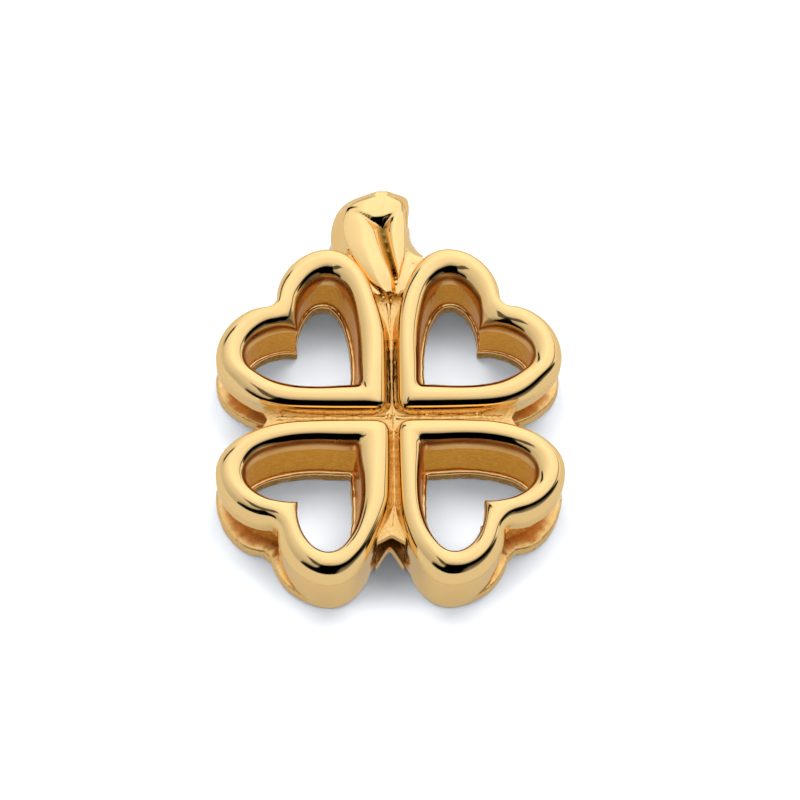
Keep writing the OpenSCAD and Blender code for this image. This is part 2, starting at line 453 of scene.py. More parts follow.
def bakeTree(piece, tree, values):
    # the tree gets its values by identifier, and the values that it read from the mesh are dropped after
    modifier = piece.modifiers.new(tree.name, "NODES")
    modifier.node_group = tree
    for item in tree.interface.items_tree:
        if item.in_out == "INPUT" and item.name in values:
            modifier[item.identifier] = values[item.name]
    keepResult(piece)
    attributes = piece.data.attributes
    for name in [a.name for a in attributes]:
        layer = attributes[name]
        if not layer.is_required and not layer.is_internal and name not in ("sharp_edge", "material_index"):
            attributes.remove(layer)


def smooth(mesh, sharpAngle=None):
    mesh.shade_smooth()
    if sharpAngle:
        mesh.set_sharp_from_angle(angle=radians(sharpAngle))


def settleNormals(mesh, sharpAngle=None):
    nearest = 0.0001 * mm
    work = bmesh.new()
    work.from_mesh(mesh)
    bmesh.ops.remove_doubles(work, verts=work.verts, dist=nearest)
    bmesh.ops.dissolve_degenerate(work, edges=work.edges, dist=nearest)
    bmesh.ops.recalc_face_normals(work, faces=work.faces)
    work.to_mesh(mesh)
    work.free()
    smooth(mesh, sharpAngle)


def meshObject(name, points, faces, materials):
    mesh = bpy.data.meshes.new(name)
    mesh.from_pydata([tuple(p) for p in points], [], faces)
    for material in materials:
        mesh.materials.append(material)
    return addObject(name, mesh)


def removePiece(piece):
    mesh = piece.data
    bpy.data.objects.remove(piece)
    bpy.data.meshes.remove(mesh)


def unite(piece, others):
    for other in others:
        modifier = piece.modifiers.new("unite", "BOOLEAN")
        modifier.operation = "UNION"
        modifier.solver = "MANIFOLD"
        modifier.material_mode = "TRANSFER"
        modifier.object = other
    keepResult(piece)
    for other in others:
        removePiece(other)


# Finishes of the gold
gold = {
    "tone": (0.95, 0.665, 0.3, 1),
    "deepTone": (0.9, 0.56, 0.2, 1),
    "valleyTone": (0.9, 0.76, 0.54, 1),  # painted paler than the gold, so that the reflections in the valleys come out less orange
    "valleyPit": (0.8, 0.6, 0.35, 1),
    "lipTone": (0.9, 0.58, 0.25, 1),
    # painted shade: the walls inside the openings get a darker, more orange tone than the gold, standing in
    # for the shade and the reflections of gold in gold there
    "wallShadeTone": (0.76, 0.37, 0.07, 1),
    "wallShadeDeep": (0.66, 0.3, 0.045, 1),
    "roughTone": (0.46, 0.25, 0.08, 1),
    "roughPit": (0.2, 0.1, 0.03, 1),
    # painted shade for the bottom of the stem's groove, also the tone of the dark seam lines on its cap
    "grooveShadeAndSeamTone": (0.4, 0.31, 0.15, 1),
    "edge": (1, 0.86, 0.64, 1),  # what the tone is multiplied by where the metal is seen almost edge on
    "satinEdge": (1, 0.74, 0.5, 1),
}
# Marks of the buffing wheel, by noise scales per metre, and how dark the pits of cast metal come out
marks = {
    "waveScale": 900.0,
    "hairScale": 5000.0,
    "hairStretch": (1.0, 0.12, 0.3),
    "hairHeight": 0.05,
    "cloudScale": 1600.0,
    "cloudGain": 1.6,
    "pitGain": 3.0,
}


def shaderGroup(name, inputs, outputs):
    tree = bpy.data.node_groups.new(name, "ShaderNodeTree")
    for title, default in inputs:
        kind = "Color" if isinstance(default, tuple) else "Float"
        socket = tree.interface.new_socket(title, in_out="INPUT", socket_type="NodeSocket" + kind)
        socket.default_value = default
    for title, kind in outputs:
        tree.interface.new_socket(title, in_out="OUTPUT", socket_type="NodeSocket" + kind)
    return tree, tree.nodes.new("NodeGroupInput").outputs, tree.nodes.new("NodeGroupOutput").inputs


def noiseValue(tree, scale, detail=2.0, stretch=None):
    spot = place(tree, "ShaderNodeTexCoord").outputs["Object"]
    if stretch:
        spot = build(tree, "ShaderNodeMapping", {"Vector": spot, "Scale": stretch})
    return build(tree, "ShaderNodeTexNoise", {"Vector": spot, "Scale": scale, "Detail": detail})


# Buffed metal: slow waves left by the wheel and fine hairlines, as a height and a roughness
def buffedGroup():
    tree, given, out = shaderGroup("buffedMetal", [
        ("Hairlines", 1.0), ("Roughness low", 0.05), ("Roughness high", 0.12),
    ], [("Height", "Float"), ("Roughness", "Float")])
    waves = noiseValue(tree, marks["waveScale"])
    hairs = noiseValue(tree, marks["hairScale"], 4.0, marks["hairStretch"])
    lines = times(tree, hairs, given["Hairlines"])
    tree.links.new(maths(tree, "MULTIPLY_ADD", lines, marks["hairHeight"], waves), out["Height"])
    gain = marks["cloudGain"]
    cloud = noiseValue(tree, marks["cloudScale"], 3.0)
    cloud = maths(tree, "MULTIPLY_ADD", cloud, gain, (1 - gain) / 2, clamp=True)
    spread = minus(tree, given["Roughness high"], given["Roughness low"])
    rough = maths(tree, "MULTIPLY_ADD", cloud, spread, given["Roughness low"])
    tree.links.new(rough, out["Roughness"])
    return tree


# Cast metal: grains and pits that the wheel didn't reach, and the darker tone held in them
def castGroup():
    tree, given, out = shaderGroup("castMetal", [
        ("Grain", 9000.0), ("Tone", gold["tone"]), ("Pit tone", gold["deepTone"]), ("Pits", 0.5),
    ], [("Height", "Float"), ("Color", "Color")])
    spot = place(tree, "ShaderNodeTexCoord").outputs["Object"]
    cells = place(tree, "ShaderNodeTexVoronoi", {"Vector": spot, "Scale": given["Grain"]},
                  feature="SMOOTH_F1").outputs["Distance"]
    height = maths(tree, "MULTIPLY_ADD", cells, -0.5, noiseValue(tree, given["Grain"], 3.0))
    tree.links.new(height, out["Height"])
    pit = maths(tree, "MULTIPLY", minus(tree, given["Pits"], height), marks["pitGain"], clamp=True)
    tree.links.new(mixedColor(tree, pit, given["Tone"], given["Pit tone"]), out["Color"])
    return tree


buffed = buffedGroup()
cast = castGroup()


def emptyMaterial(name):
    material = bpy.data.materials.new(name)
    material.use_nodes = True
    material.node_tree.nodes.clear()
    return material, material.node_tree


def goldFinish(name, tone, pitTone, edgeTint, grain, grainDepth, waveDepth, hairlines, smoothest, roughest,
               recess=None):
    material, tree = emptyMaterial(name)
    polish = place(tree, "ShaderNodeGroup", {
        "Hairlines": hairlines, "Roughness low": smoothest, "Roughness high": roughest,
    }, node_tree=buffed).outputs
    casting = place(tree, "ShaderNodeGroup", {
        "Grain": grain, "Tone": gold[tone], "Pit tone": gold[pitTone],
    }, node_tree=cast).outputs
    normal = build(tree, "ShaderNodeBump", {
        "Height": polish["Height"], "Strength": 1.0, "Distance": waveDepth * mm,
    })
    normal = build(tree, "ShaderNodeBump", {
        "Height": casting["Height"], "Strength": 1.0, "Distance": grainDepth * mm, "Normal": normal,
    })
    color = casting["Color"]
    if recess:
        # painted shade: a darker tone mixed in by the named mask. On the stem it paints shade into the groove,
        # darkest at its bottom, and dark lines along the cap's seams
        share = place(tree, "ShaderNodeAttribute", attribute_name=recess).outputs["Fac"]
        color = mixedColor(tree, share, color, gold["grooveShadeAndSeamTone"])
    shader = build(tree, "ShaderNodeBsdfPrincipled", {
        "Base Color": color, "Metallic": 1.0, "Roughness": polish["Roughness"], "Normal": normal,
        "Specular Tint": gold[edgeTint],
    })
    place(tree, "ShaderNodeOutputMaterial", {"Surface": shader})
    return material


# Each finish: tone, tone of the pits, tint at the edge, scale of the grain, depths of the grain and of the
# waves in millimetres, hairlines, least and most roughness, and, where it has one, the mask of its painted
# groove shade and dark seam lines
finishRows = {
    "polished": ["goldPolished", "tone", "tone", "edge", 2500.0, 0.0004, 0.006, 1.0, 0.045, 0.1],
    "stem": ["goldStem", "tone", "tone", "edge", 2500.0, 0.0004, 0.006, 1.0, 0.045, 0.1, "recess"],
    "valley": ["goldValley", "valleyTone", "valleyPit", "edge", 7000.0, 0.006, 0.01, 1.0, 0.08, 0.18],
    "lip": ["goldLip", "lipTone", "lipTone", "satinEdge", 6000.0, 0.002, 0.008, 1.0, 0.24, 0.38],
    # painted shade on the walls inside the openings, with a satin roughness
    "satin": ["goldSatin", "wallShadeTone", "wallShadeDeep", "satinEdge", 6000.0, 0.004, 0.008, 2.0, 0.16, 0.28],
    "cast": ["goldCast", "tone", "deepTone", "edge", 9000.0, 0.02, 0.01, 1.0, 0.22, 0.4],
    "rough": ["goldRough", "roughTone", "roughPit", "satinEdge", 8000.0, 0.02, 0.01, 1.0, 0.2, 0.35],
    "back": ["goldBrushed", "tone", "deepTone", "edge", 7000.0, 0.002, 0.004, 6.0, 0.2, 0.32],
}
finishes = {key: goldFinish(*row) for key, row in finishRows.items()}
print("finishes made")

sweep = sweepTree()


def sweptHearts(name, side, rows, section, foot, shift, tuck, values):
    piece = pathObject(name, heartPath(rows, holeRows, foot, side, shift, tuck))
    bakeTree(piece, sweep, {"Section": section, "Side": float(side), **values})
    settleNormals(piece.data)
    return piece


def heartValues(roughFinish, grain, seed, *names):
    zones = ("Front", "Valley", "Lip", "Wall", "Hidden")
    values = {zone + " finish": finishes[name] for zone, name in zip(zones, names)}
    return {"Rough finish": roughFinish, "Grain size": grain * mm, "Seed": seed, **values}


# Front: four hearts and the floor of the valleys between them
section = sectionObject("heartSection", heartSection)
shellValues = heartValues(0.12, 0.5, 3, "polished", "valley", "lip", "satin", "back")
front = sweptHearts("frontShell", 1, heartRows, section, skirtFoot, rim["shift"], 0.0, shellValues)
lowerHearts = sweptHearts("lowerHearts", -1, heartRows, section, skirtFoot, 0.0, 0.0, shellValues)
removePiece(section)
print("hearts swept:", len(front.data.polygons) + len(lowerHearts.data.polygons))

# Floor of the valleys, and its like in the back plate: a cross with a notched end on each arm
web = {
    "thickness": 0.44,
    "halfWidth": 0.6,  # past the valley's edge, as a share of the wall
    "frontEnd": 4.92,  # where the middle of an arm's end lies
    "stemEnd": 5.35,
    "backEnd": 4.62,
    "frontPoint": 0.35,  # how far the end's corners stand out past its middle
    "backPoint": 0.95,
    "notchRound": 0.15,
}


def crossOutline(halfWidth, end, stemEnd, point, steps=15):
    # one arm along +X from its inner corner to its notched end and back, then the same arm turned
    points, soft = [], web["notchRound"]
    for turn in range(4):
        middle = stemEnd if turn == 1 else end
        arm = [(halfWidth, -halfWidth)]
        for t in np.linspace(-1, 1, steps):
            arm.append((middle + point * (hypot(t, soft) - soft), halfWidth * t))
        c, s = cos(turn * pi / 2), sin(turn * pi / 2)
        points += [(x * c - y * s, x * s + y * c) for x, y in arm]
    return points


def crossBar(name, halfWidth, end, stemEnd, point, low, high, material):
    outline = crossOutline(halfWidth, end, stemEnd, point)
    count = len(outline)
    points = [(x * mm, y * mm, z * mm) for z in (low, high) for x, y in outline]
    faces = [list(range(count))[::-1], list(range(count, 2 * count))]
    faces += [[i, (i + 1) % count, count + (i + 1) % count, count + i] for i in range(count)]
    piece = meshObject(name, points, faces, [material])
    settleNormals(piece.data, 30)
    return piece


webHalf = heartLow + web["halfWidth"] * clover["wall"]
bar = crossBar("valleyBar", webHalf, web["frontEnd"], web["stemEnd"], web["frontPoint"],
               valleyFloor - web["thickness"], valleyFloor, finishes["cast"])
unite(front, [lowerHearts, bar])

# The hearts on the left are set closer to the upright valley: the share of the move by X, and the
# move in millimetres by Y
foot = heartLow - rim["leanOut"]
closer = {
    "across": ([-holeLow, -heartLow, -foot, foot], [0, 1, 1, 0]),
    "along": ([-5.2, -3.6, -0.6, 0.6, 3.4, 4.8], [0, 0.3, 0.3, 0.2, 0.2, 0]),
    "above": 3.0,
}


def setCloser(mesh):
    spots = np.empty(3 * len(mesh.vertices))
    mesh.vertices.foreach_get("co", spots)
    spots = spots.reshape(-1, 3)
    x, y = spots[:, 0] / mm, spots[:, 1] / mm
    move = np.interp(x, *closer["across"]) * np.interp(y, *closer["along"])
    spots[:, 0] += mm * np.where(spots[:, 2] > closer["above"] * mm, move, 0)
    mesh.vertices.foreach_set("co", spots.ravel())
    mesh.update()


setCloser(front.data)
smooth(front.data, 40)
print("front shell united:", len(front.data.polygons))

# Back plate, soldered on: a flat ring under each heart and the cross between them
plate = {
    "proud": 0.06,
    "corner": 0.12,
    "barInset": 0.02,
    "tuck": 0.12,
    "lobeEnd": [0.662, 0.742],
    "notch": [0.69, 0.69],
    "innerWork": 0.2,
}
plateRows = [row[:] for row in heartRows]
plateRows[4][:2] = plate["lobeEnd"]
plateRows[5][:2] = plate["notch"]


def plateSection(shape):
    # round the edge from the bottom up on the outer side, and down again in the opening
    spots, values = [], []
    top, corner, proud = clover["plate"], plate["corner"], plate["proud"]

    def row(share, gap, height, rough, zone):
        spots.append([share, gap, height])
        values.append([0, share, 0, rough, zone])

    turns = np.array([-90, -68, -45, -22, -1, 0, 1, 22, 45, 68, 90])
    for side, share, degrees in ((-1, 0, turns), (1, 1, turns[::-1])):
        for angle in degrees:
            centre = np.interp(angle, [-1, 0, 1], [corner, top / 2, top - corner])
            out = proud - corner + corner * cos(radians(angle))
            zone = satin if share == 0 else polished if angle > 0 else lip
            row(share, side * out, centre + corner * sin(radians(angle)), 1.0, zone)
        row(0.5, 0, top * (1 - share), plate["innerWork"] * (1 - share), plain)
    return np.array(spots), np.array(values)


section = sectionObject("plateSection", plateSection)
plateValues = heartValues(0.1, 0.4, 8, "polished", "rough", "rough", "cast", "back")


def flatFoot(outer):
    return np.zeros(len(outer))


back = sweptHearts("backPlate", 1, plateRows, section, flatFoot, 0.0, plate["tuck"], plateValues)
lowerPlate = sweptHearts("lowerPlate", -1, plateRows, section, flatFoot, 0.0, plate["tuck"], plateValues)
removePiece(section)
bar = crossBar("backBar", webHalf, web["backEnd"], web["backEnd"], web["backPoint"], plate["barInset"],
               clover["plate"] - plate["barInset"], finishes["back"])
unite(back, [lowerPlate, bar])
smooth(back.data, 50)
print("back plate united:", len(back.data.polygons))

# Stem, in millimetres, lofted through slices from foot to tip. Each row: place along Y, outline on
# the left, edges of the front on the left and right, outline on the right, height of the front's
# crown and of the shoulders
stem = {
    "foot": 0.12,
    "edgeDrop": 0.2,
    "grooveDepth": 0.5,
    "grooveFoot": 5.3,
    "grooveFade": 0.7,
    "bankPower": 1.7,
    "rampSlope": 1.25,
    "creaseDepth": 0.045,
    "creaseUnder": (0.1, 0.1, 0.4),  # where it fades in and out: below the lip, then by X
    "creaseAcross": (-1.6, 0.6, -0.6, 0.2),
    "front": 3.6,  # height above which the groove and the seams show
    "frontFade": 0.3,
    "darkStart": 0.35,
    "darkDepth": 0.4,  # depth over which the painted shade in the groove goes from the bright tone to the dark one
    "seamWidth": 0.035,
    "seamShare": 0.8,
    "steps": 150,
    "round": 150,
}
stemRows = [
    [5.04, -0.3, -0.04, 0.12, 0.36, 3.3, 3.1],
    [5.06, -0.42, -0.08, 0.17, 0.46, 3.8, 3.6],
    [5.09, -0.5, -0.16, 0.22, 0.46, 4.1, 3.8],
    [5.16, -0.62, -0.26, 0.26, 0.56, 4.2, 3.88],
    [5.35, -0.86, -0.48, 0.3, 0.78, 4.23, 3.9],
    [5.7, -1.12, -0.8, 0.42, 0.97, 4.27, 3.92],
    [6.2, -1.44, -1.12, 0.56, 1.25, 4.3, 3.92],
    [6.7, -1.78, -1.42, 0.68, 1.45, 4.3, 3.9],
    [7.2, -2.1, -1.66, 0.69, 1.25, 4.3, 3.3],
    [7.7, -2.25, -1.77, 0.67, 1.02, 4.3, 2.95],
    [8.2, -2.3, -1.8, 0.67, 0.9, 4.3, 2.95],
    [8.7, -2.2, -1.68, 0.61, 0.87, 4.3, 2.95],
    [9.0, -2.08, -1.5, 0.58, 0.9, 4.28, 2.95],
    [9.25, -1.9, -1.06, 0.44, 0.93, 4.2, 2.98],
    [9.45, -1.68, -0.78, 0.28, 0.92, 4.08, 3.0],
    [9.62, -1.36, -0.65, 0.22, 0.86, 3.96, 3.05],
    [9.74, -1.14, -0.6, 0.25, 0.78, 3.7, 2.95],
    [9.83, -0.94, -0.55, 0.27, 0.68, 3.42, 2.85],
    [9.9, -0.74, -0.45, 0.22, 0.55, 3.1, 2.6],
    [9.95, -0.5, -0.25, 0.12, 0.36, 2.7, 2.3],
]
# Seams at the ends of the cap, as X and Y
capSeams = [
    [[-1.54, 8.83], [-1.42, 8.97], [-1.09, 9.16], [-0.68, 9.27], [-0.47, 9.32]],
    [[0.35, 9.27], [0.51, 9.2], [0.61, 8.98], [0.61, 8.7]],
]
# Lip of the cap, as X and Y, and the edges and floor of the groove below it, as Y and X
stemLip = [[-1.6, 8.8], [-1.28, 8.67], [-0.87, 8.49], [-0.63, 8.36], [-0.18, 8.4], [0.11, 8.53],
           [0.36, 8.66], [0.6, 8.8]]
grooveLeft = [[5.3, 0.05], [5.65, 0.06], [6.09, -0.1], [6.65, -0.35], [7.26, -0.58], [7.79, -0.8],
              [8.23, -1.05], [8.62, -1.35]]
grooveFloor = [[5.3, 0.3], [5.83, 0.35], [6.22, 0.25], [6.79, 0.09], [7.44, -0.06], [7.92, -0.16],
               [8.62, -0.25]]
grooveRight = [[5.3, 0.38], [5.8, 0.44], [6.19, 0.38], [6.67, 0.3], [7.19, 0.22], [7.76, 0.2],
               [8.2, 0.28], [8.63, 0.5]]


def stemSlice(row):
    y, left, leftEdge, rightEdge, right, crown, shoulder = row
    foot, edge = stem["foot"], crown - stem["edgeDrop"]

    def side(out, front, way):
        # from the foot up the flank and over the edge of the front
        return [(out - way * 0.15, foot), (out, foot + 0.3), (out, shoulder * 0.55), (out, shoulder - 0.1),
                (out - way * 0.07, shoulder + 0.12), ((out + front) / 2, (shoulder + edge) / 2 + 0.05),
                (front + way * 0.04, edge - 0.02), (front - way * 0.08, edge + 0.09)]

    across = side(left, leftEdge, -1)
    across += [(leftEdge + (rightEdge - leftEdge) * share, crown) for share in (0.25, 0.4, 0.6, 0.75)]
    across += side(right, rightEdge, 1)[::-1]
    return [(x, y, z) for x, z in across]


def capDistance(x, y):
    # distance to the lines that set the cap off from the sides
    near = np.full(x.shape, np.inf)
    for line in capSeams:
        for a, b in zip(np.array(line), np.array(line[1:])):
            along = b - a
            t = np.clip(((x - a[0]) * along[0] + (y - a[1]) * along[1]) / (along @ along), 0, 1)
            near = np.minimum(near, np.hypot(x - a[0] - t * along[0], y - a[1] - t * along[1]))
    return near


def stemDip(x, y):
    # depth of the groove: a bank on each side, a ramp down from the cap's lip, and a crease under
    # the left part of the lip
    lip = np.interp(x, *np.transpose(stemLip))
    left, floor, right = (np.interp(y, *np.transpose(line)) for line in (grooveLeft, grooveFloor, grooveRight))
    bank = np.where(x < floor, (x - left) / (floor - left), (right - x) / (right - floor))
    bank = np.clip(bank, 0, 1) ** stem["bankPower"]
    bank *= smoothStep((y - stem["grooveFoot"]) / stem["grooveFade"])
    below = lip - y
    groove = np.minimum(stem["grooveDepth"] * bank, np.clip(below, 0, 1) * stem["rampSlope"])
    fadeIn, full, fadeOut = stem["creaseUnder"]
    crease = smoothStep(below / fadeIn) * smoothStep((full + fadeOut - below) / fadeOut)
    left, fadeIn, right, fadeOut = stem["creaseAcross"]
    crease *= smoothStep((right + fadeOut - x) / fadeOut) * smoothStep((x - left) / fadeIn)
    return groove + stem["creaseDepth"] * crease


def curveThrough(points, steps, closed):
    # Catmull-Rom through rows of points, evenly in their own numbering
    points = np.asarray(points, dtype=float)
    count = len(points)
    spots = np.arange(steps) * (count / steps) if closed else np.linspace(0, count - 1, steps)
    result = []
    for spot in spots:
        i = min(int(spot), count - 1 if closed else count - 2)
        t = spot - i
        index = [(i + k) % count if closed else min(max(i + k, 0), count - 1) for k in (-1, 0, 1, 2)]
        a, b, c, d = points[index]
        result.append(0.5 * (2 * b + (c - a) * t + (2 * a - 5 * b + 4 * c - d) * t ** 2
                             + (3 * b - 3 * c + d - a) * t ** 3))
    return np.array(result)


slices = curveThrough([stemSlice(row) for row in stemRows], stem["steps"], False)
rings = [curveThrough(ring, stem["round"], True) for ring in slices]
points = np.vstack(rings)
x, y, z = points.T
dip = stemDip(x, y) * smoothStep((z - stem["front"]) / stem["frontFade"])
z -= dip
# mask of painted shade that grows with the depth of the groove; the cap's seams add dark joint lines to the
# same mask
seam = np.exp(-(capDistance(x, y) / stem["seamWidth"]) ** 2) * (z > stem["front"])
recess = np.maximum(smoothStep(dip / stem["darkDepth"] - stem["darkStart"]), stem["seamShare"] * seam)
count, last = stem["round"], len(rings) - 1
faces = [[j * count + i, j * count + (i + 1) % count, (j + 1) * count + (i + 1) % count, (j + 1) * count + i]
         for j in range(last) for i in range(count)]
faces += [list(range(count))[::-1], list(range(last * count, (last + 1) * count))]
stemPiece = meshObject("stem", points * mm, faces, [finishes["stem"]])
writeValues(stemPiece.data, {"recess": recess})
settleNormals(stemPiece.data, 60)
print("stem lofted:", len(stemPiece.data.polygons))

# Solder: a bead that wanders down the middle of each valley, and the grains left beside it
solder = {
    "beadRadius": 0.1,
    "beadSteps": 170,
    "beadSides": 10,
    "beadGap": 0.25,  # the cross bead stops short of the upright one
    "swell": (1.8, 0.1),  # how the radius follows the noise: gain and least share
    "swellScale": 2.6,
    "wander": 0.03,
    "wanderScale": 1.4,
    "wanderWays": (4.0, 4.0, 1.0),
    "beadSink": 0.03,
    "reach": 4.55,
    "stemReach": 4.9,
    "grain": 0.07,
    "lumps": 0.9,
    "lumpScale": 1.3,
}
# Grains, in millimetres: place and size as a share of the usual grain
grains = [
    [-1.62, 7.05, 4.12, 1.0], [1.05, 6.45, 4.02, 1.1], [0.33, 5.62, 4.0, 1.3], [-0.2, 5.06, 3.78, 1.0],
    [0.1, 4.95, 3.68, 1.2], [0.42, 5.35, 3.85, 0.9], [-0.25, 0.05, 3.52, 1.6], [-0.1, -0.2, 3.52, 1.3],
    [0.12, 0.12, 3.53, 1.2], [1.5, 0.1, 3.54, 1.2], [3.52, 0.16, 3.54, 1.3], [3.75, 0.08, 3.54, 1.0],
    [-4.4, 0.15, 3.5, 1.1], [4.45, 0.0, 3.5, 1.2],
]


def beadTree():
    tree, given = geometryTree("solderBead", [
        ("Path", "Geometry", None),
        ("Radius", "Float", solder["beadRadius"] * mm),
        ("Wander", "Float", solder["wander"] * mm),
        ("Seed", "Int", 5),
        ("Finish", "Material", None),
    ])
    line = build(tree, "GeometryNodeMeshToCurve", {"Mesh": given["Path"]})
    line = build(tree, "GeometryNodeResampleCurve", {"Curve": line, "Count": solder["beadSteps"]})
    drift = seededNoise(tree, given["Seed"], solder["wanderScale"] / mm, 3.0)["Color"]
    drift = vectors(tree, "SUBTRACT", drift, (0.5, 0.5, 0.5))
    drift = vectors(tree, "MULTIPLY", vectors(tree, "SCALE", drift, given["Wander"]), solder["wanderWays"])
    line = build(tree, "GeometryNodeSetPosition", {"Geometry": line, "Offset": drift})
    swell = seededNoise(tree, given["Seed"], solder["swellScale"] / mm, 4.0)[0]
    radius = times(tree, given["Radius"], maths(tree, "MULTIPLY_ADD", swell, *solder["swell"]))
    ring = build(tree, "GeometryNodeCurvePrimitiveCircle",
                 {"Resolution": solder["beadSides"], "Radius": 1.0})
    tube = build(tree, "GeometryNodeCurveToMesh",
                 {"Curve": line, "Profile Curve": ring, "Scale": radius, "Fill Caps": True})
    tube = build(tree, "GeometryNodeRealizeInstances", {"Geometry": tube})
    finishTree(tree, tube, [(None, given["Finish"])])
    return tree


def grainTree():
    tree, given = geometryTree("solderGrains", [
        ("Spots", "Geometry", None),
        ("Grain", "Float", solder["grain"] * mm),
        ("Seed", "Int", 11),
        ("Finish", "Material", None),
    ])
    ball = build(tree, "GeometryNodeMeshIcoSphere", {"Radius": 1.0, "Subdivisions": 3})
    lumps = build(tree, "ShaderNodeTexNoise", {"Scale": solder["lumpScale"]})
    away = vectors(tree, "SCALE", build(tree, "GeometryNodeInputNormal"),
                   maths(tree, "MULTIPLY_ADD", lumps, solder["lumps"], -solder["lumps"] / 2))
    ball = build(tree, "GeometryNodeSetPosition", {"Geometry": ball, "Offset": away})
    turn = build(tree, "FunctionNodeRandomValue", {1: [6.3] * 3, "Seed": given["Seed"]},
                 data_type="FLOAT_VECTOR")
    size = times(tree, given["Grain"], named(tree, "size"))
    copies = build(tree, "GeometryNodeInstanceOnPoints",
                   {"Points": given["Spots"], "Instance": ball, "Rotation": turn, "Scale": size})
    copies = build(tree, "GeometryNodeRealizeInstances", {"Geometry": copies})
    finishTree(tree, copies, [(None, given["Finish"])])
    return tree


def linesObject(name, lines):
    points = [spot for line in lines for spot in line]
    edges, start = [], 0
    for line in lines:
        edges += [(start + i, start + i + 1) for i in range(len(line) - 1)]
        start += len(line)
    mesh = bpy.data.meshes.new(name)
    mesh.from_pydata([tuple(c * mm for c in spot) for spot in points], edges, [])
    return addObject(name, mesh)


beadHeight, beadEnd, gap = valleyFloor - solder["beadSink"], solder["reach"], solder["beadGap"]
beadLines = [
    [(-beadEnd, 0, beadHeight), (-gap, 0, beadHeight)],
    [(gap, 0, beadHeight), (beadEnd, 0, beadHeight)],
    [(0, -beadEnd, beadHeight), (0, solder["stemReach"], beadHeight)],
]
bead = linesObject("solderBead", beadLines)
bakeTree(bead, beadTree(), {"Radius": solder["beadRadius"] * mm, "Wander": solder["wander"] * mm,
                            "Seed": 5, "Finish": finishes["polished"]})
settleNormals(bead.data)
grainSpots = linesObject("solderGrains", [[spot[:3]] for spot in grains])
writeValues(grainSpots.data, {"size": [spot[3] for spot in grains]})
bakeTree(grainSpots, grainTree(), {"Grain": solder["grain"] * mm, "Seed": 11, "Finish": finishes["polished"]})
settleNormals(grainSpots.data)
print("solder laid:", len(bead.data.polygons), len(grainSpots.data.polygons))

for piece in (bead, grainSpots):
    setCloser(piece.data)
for piece in (front, back, stemPiece, bead, grainSpots):
    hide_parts("clover")
    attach(piece, "root")

# Floor, light and camera
studio = {
    "floor": 400.0,
    "floorDrop": 0.03,  # keeps the floor clear of the faces that rest on it
    "floorTone": (0.88, 0.9, 0.93, 1),
    "floorMirrored": (0.18, 0.18, 0.18, 1),  # the tone and the glow that the metal sees
    "floorGlow": (0.48, 0.48, 0.47, 1),
    "floorRough": 0.9,
    "lampDistance": 500.0,
    "cameraElevation": 71.7,
    "cameraAzimuth": -4.2,
    "cameraRoll": 3.66,
    "cameraDistance": 148.0,
    "cameraFocus": 2.2,
    "focalPixels": 3645.0,
    "pixels": 800.0,
    "left": 11.0,
    "down": 27.8,
    "sensor": 36.0,
}

# Lamps for the floor: angle round from the front, elevation and radius in degrees, brightness
lamps = [
    ["backLeft", -145.0, 66.0, 13.0, 0.47],
    ["backRight", 145.0, 66.0, 13.0, 0.47],
    ["sideLeft", -82.0, 56.0, 12.0, 0.2],
    ["sideRight", 82.0, 56.0, 12.0, 0.2],
    ["overhead", 0.0, 80.0, 22.0, 0.36],
]

# Light tent, in degrees of elevation: where the ring's low light turns into its middle light, and that
# into the light overhead; how soft the edges of the dark shapes are; and what the camera sees
tent = {
    "middle": (10.0, 62.0),
    "overhead": (65.0, 88.0),
    "zenith": 1.02,
    "openingSoft": 5.0,
    "prongSoft": 3.0,
    "prongDark": 0.85,
    "seam": (9.0, 5.0),
    "background": 1.3,
}
# Brightness of the ring low down and half way up, by the angle from the front, -Y
lightRing = [
    [-180, 1.28, 1.22], [-155, 0.98, 1.1], [-130, 0.66, 1.0], [-90, 0.68, 0.86], [-60, 0.56, 0.78],
    [0, 0.6, 0.76], [55, 0.62, 1.0], [90, 0.88, 1.08], [130, 1.08, 1.16], [165, 1.32, 1.26],
    [180, 1.28, 1.22],
]
# The dark opening at the front of the tent and its prong: lower and upper edge, by the same angle
darkOpening = [
    [-54, 9, 9], [-45, 6, 19], [-33, 3, 22], [-25, 1, 26], [-20, 1, 52], [0, 1, 55], [12, 2, 53],
    [22, 18, 50], [30, 24, 47], [45, 20, 42], [60, 13, 33], [72, 8, 22], [82, 6, 12], [88, 5, 5],
]
darkProng = [
    [-66, 64, 64], [-52, 58, 68], [-36, 43, 64], [-26, 40, 58], [-16, 40, 55],
]
# How much light the opening still takes away above and below it, and over how many degrees
nearDark = {"share": 0.42, "width": 22.0, "under": 0.8, "underWidth": 26.0}
# A seam in the left side of the tent: angle, height and how dark it is
darkSeam = [
    [-152, 47, 0], [-147, 42, 1], [-135, 31, 1], [-124, 21, 1], [-116, 16, 0],
]


def paleMaterial():
    material, tree = emptyMaterial("paleFloor")
    seen = place(tree, "ShaderNodeLightPath").outputs["Is Camera Ray"]
    pale = build(tree, "ShaderNodeBsdfPrincipled", {
        "Base Color": mixedColor(tree, seen, studio["floorMirrored"], studio["floorTone"]),
        "Emission Color": mixedColor(tree, seen, studio["floorGlow"], (0, 0, 0, 1)),
        "Emission Strength": 1.0, "Roughness": studio["floorRough"], "Specular IOR Level": 0.0,
    })
    # seen from below, the floor lets the back of the pendant show
    below = place(tree, "ShaderNodeNewGeometry").outputs["Backfacing"]
    clear = build(tree, "ShaderNodeBsdfTransparent")
    surface = build(tree, "ShaderNodeMixShader", {0: below, 1: pale, 2: clear})
    place(tree, "ShaderNodeOutputMaterial", {"Surface": surface})
    return material


